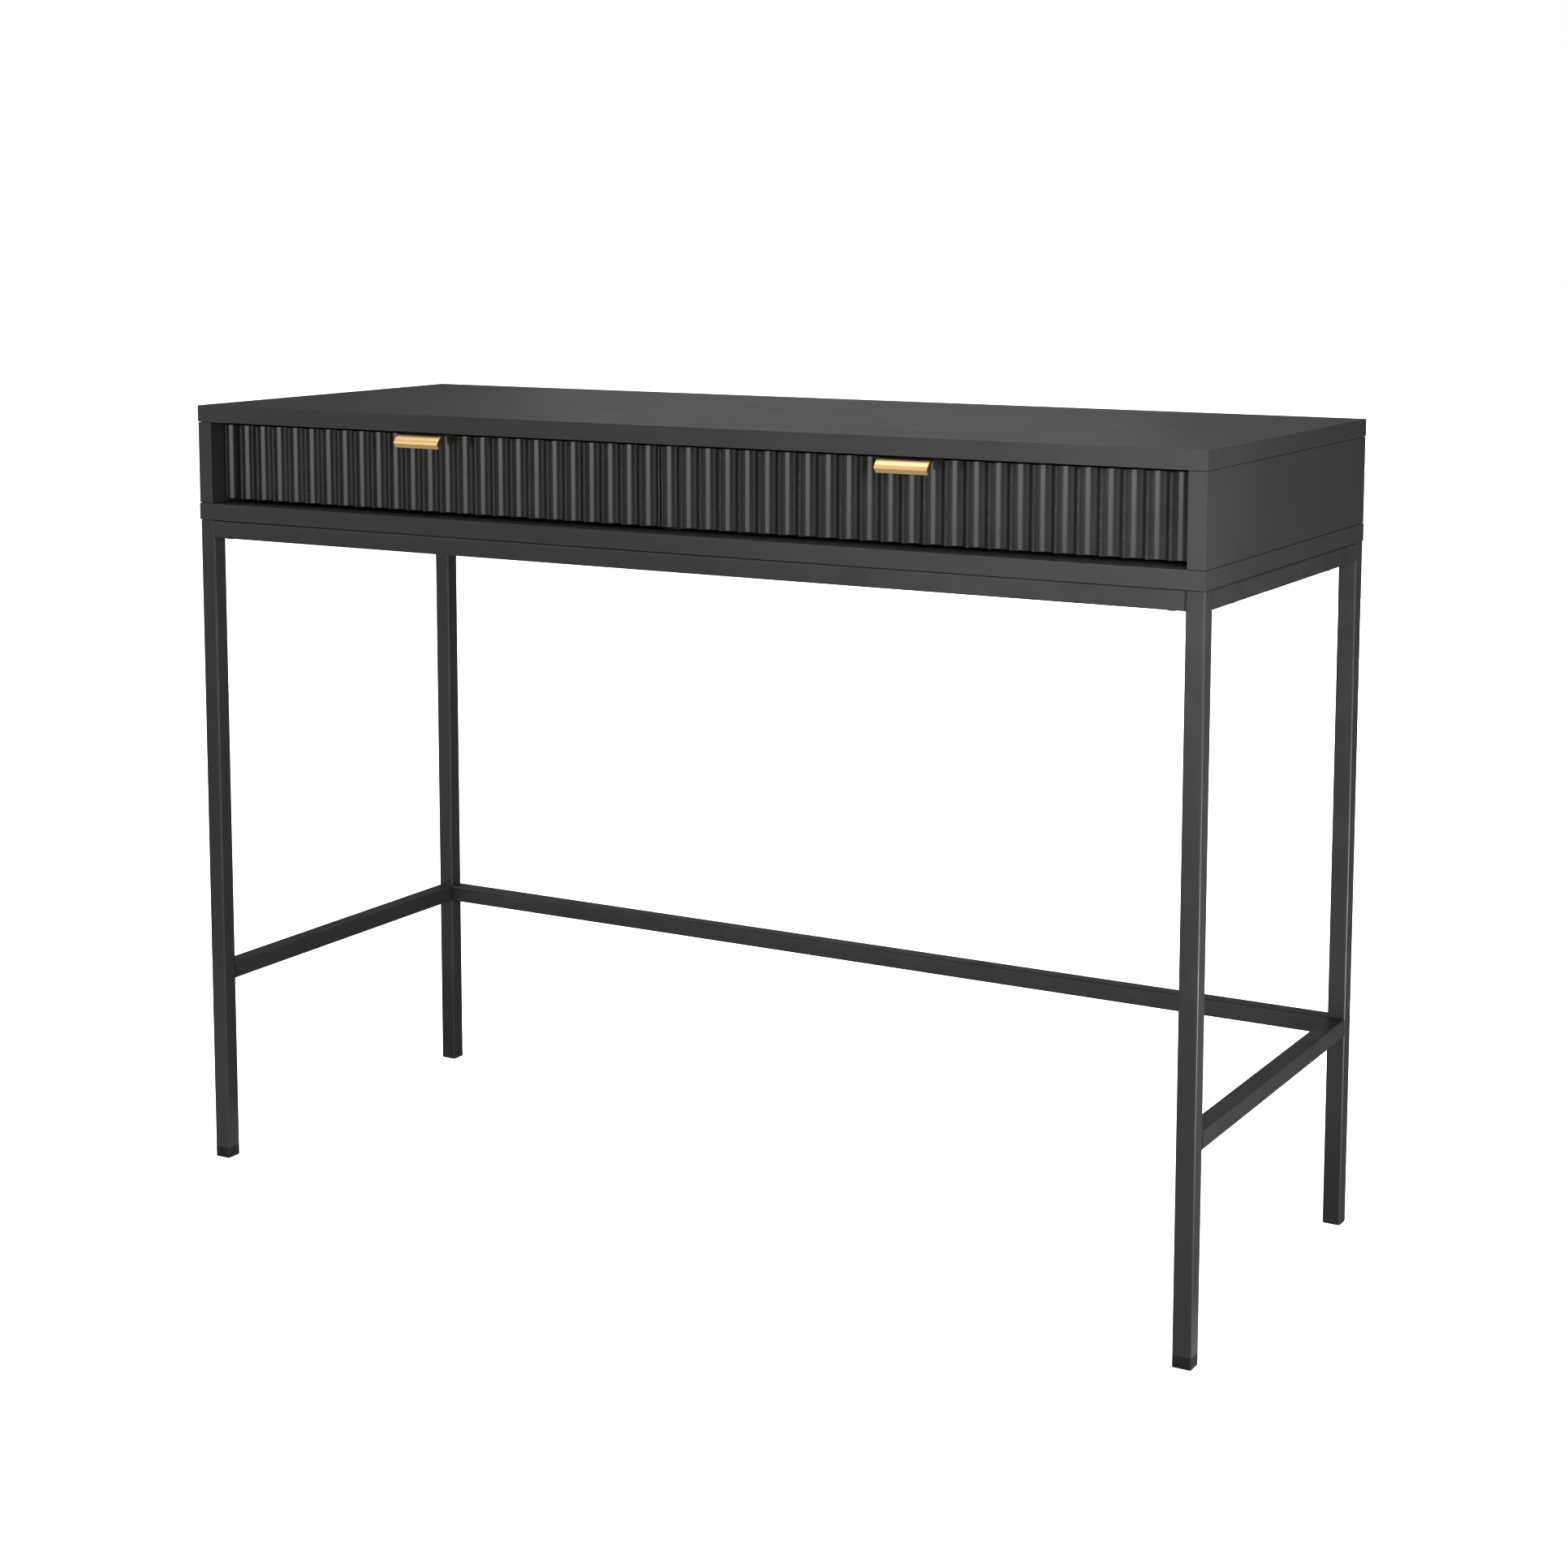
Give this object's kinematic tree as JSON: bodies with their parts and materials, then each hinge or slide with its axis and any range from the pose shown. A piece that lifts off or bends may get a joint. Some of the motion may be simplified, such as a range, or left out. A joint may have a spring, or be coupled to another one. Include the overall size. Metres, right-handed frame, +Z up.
{
  "type": "writing desk with drawers",
  "caption": "Slim writing desk: a board carcass with side-by-side fluted drawers on telescopic slides and metal edge pulls, carried by a square tube frame with low stretchers.",
  "frame": {"origin": "on the floor, under the middle of the desk with its pulls", "axes": "+Z up, +X along the desk's length to the right of a person facing its drawers, +Y from the drawer fronts to the back; the drawers pull out along -Y"},
  "size_m": [1.04, 0.403, 0.755],
  "materials": {
    "laminate": "black satin laminate on particle board",
    "front_lacquer": "black satin lacquer on moulded fibreboard",
    "box_board": "matte black melamine on fibreboard",
    "powder_coat": "fine-textured black powder coat",
    "brass_pull": "brushed, satin",
    "slide_steel": "zinc-plated rolled strip",
    "zinc_steel": "zinc-plated",
    "cap_plastic": "moulded black polyethylene"
  },
  "bodies": {
    "desk": {"back_panel": "laminate", "bottom_panel": "laminate", "centre_partition": "laminate", "front_left_carcass_screw": "zinc_steel", "front_left_foot_cap": "cap_plastic", "front_left_leg": "powder_coat", "front_right_carcass_screw": "zinc_steel", "front_right_foot_cap": "cap_plastic", "front_right_leg": "powder_coat", "front_top_rail": "powder_coat", "front_top_rail_screw_left": "zinc_steel", "front_top_rail_screw_right": "zinc_steel", "left_inner_slide_cabinet_member": "slide_steel", "left_outer_slide_cabinet_member": "slide_steel", "left_side_panel": "laminate", "left_stretcher": "powder_coat", "left_top_rail": "powder_coat", "rear_left_carcass_screw": "zinc_steel", "rear_left_foot_cap": "cap_plastic", "rear_left_leg": "powder_coat", "rear_right_carcass_screw": "zinc_steel", "rear_right_foot_cap": "cap_plastic", "rear_right_leg": "powder_coat", "rear_stretcher": "powder_coat", "rear_stretcher_screw_left": "zinc_steel", "rear_stretcher_screw_right": "zinc_steel", "rear_top_rail": "powder_coat", "rear_top_rail_screw_left": "zinc_steel", "rear_top_rail_screw_right": "zinc_steel", "right_inner_slide_cabinet_member": "slide_steel", "right_outer_slide_cabinet_member": "slide_steel", "right_side_panel": "laminate", "right_stretcher": "powder_coat", "right_top_rail": "powder_coat", "top_panel": "laminate"},
    "left_drawer": {"left_drawer_back": "box_board", "left_drawer_bottom": "box_board", "left_drawer_front": "front_lacquer", "left_drawer_inner_side": "box_board", "left_drawer_outer_side": "box_board", "left_drawer_pull": "brass_pull", "left_inner_slide_drawer_member": "slide_steel", "left_outer_slide_drawer_member": "slide_steel", "left_pull_screw_a": "zinc_steel", "left_pull_screw_b": "zinc_steel"},
    "left_middle_members": {"left_inner_slide_middle_member": "slide_steel", "left_outer_slide_middle_member": "slide_steel"},
    "right_drawer": {"right_drawer_back": "box_board", "right_drawer_bottom": "box_board", "right_drawer_front": "front_lacquer", "right_drawer_inner_side": "box_board", "right_drawer_outer_side": "box_board", "right_drawer_pull": "brass_pull", "right_inner_slide_drawer_member": "slide_steel", "right_outer_slide_drawer_member": "slide_steel", "right_pull_screw_a": "zinc_steel", "right_pull_screw_b": "zinc_steel"},
    "right_middle_members": {"right_inner_slide_middle_member": "slide_steel", "right_outer_slide_middle_member": "slide_steel"}
  },
  "joints": [
    {"name": "left_drawer_slide", "type": "slide", "parent": "desk", "child": "left_drawer", "axis": [0, -1, 0], "range_m": [0, 0.3]},
    {"name": "left_middle_member_slide", "type": "slide", "parent": "desk", "child": "left_middle_members", "axis": [0, -1, 0], "range_m": [0, 0.15]},
    {"name": "right_drawer_slide", "type": "slide", "parent": "desk", "child": "right_drawer", "axis": [0, -1, 0], "range_m": [0, 0.3]},
    {"name": "right_middle_member_slide", "type": "slide", "parent": "desk", "child": "right_middle_members", "axis": [0, -1, 0], "range_m": [0, 0.15]}
  ],
  "couplings": [
    {"joint": "left_middle_member_slide", "follows": "left_drawer_slide", "ratio": 0.5},
    {"joint": "right_middle_member_slide", "follows": "right_drawer_slide", "ratio": 0.5}
  ]
}
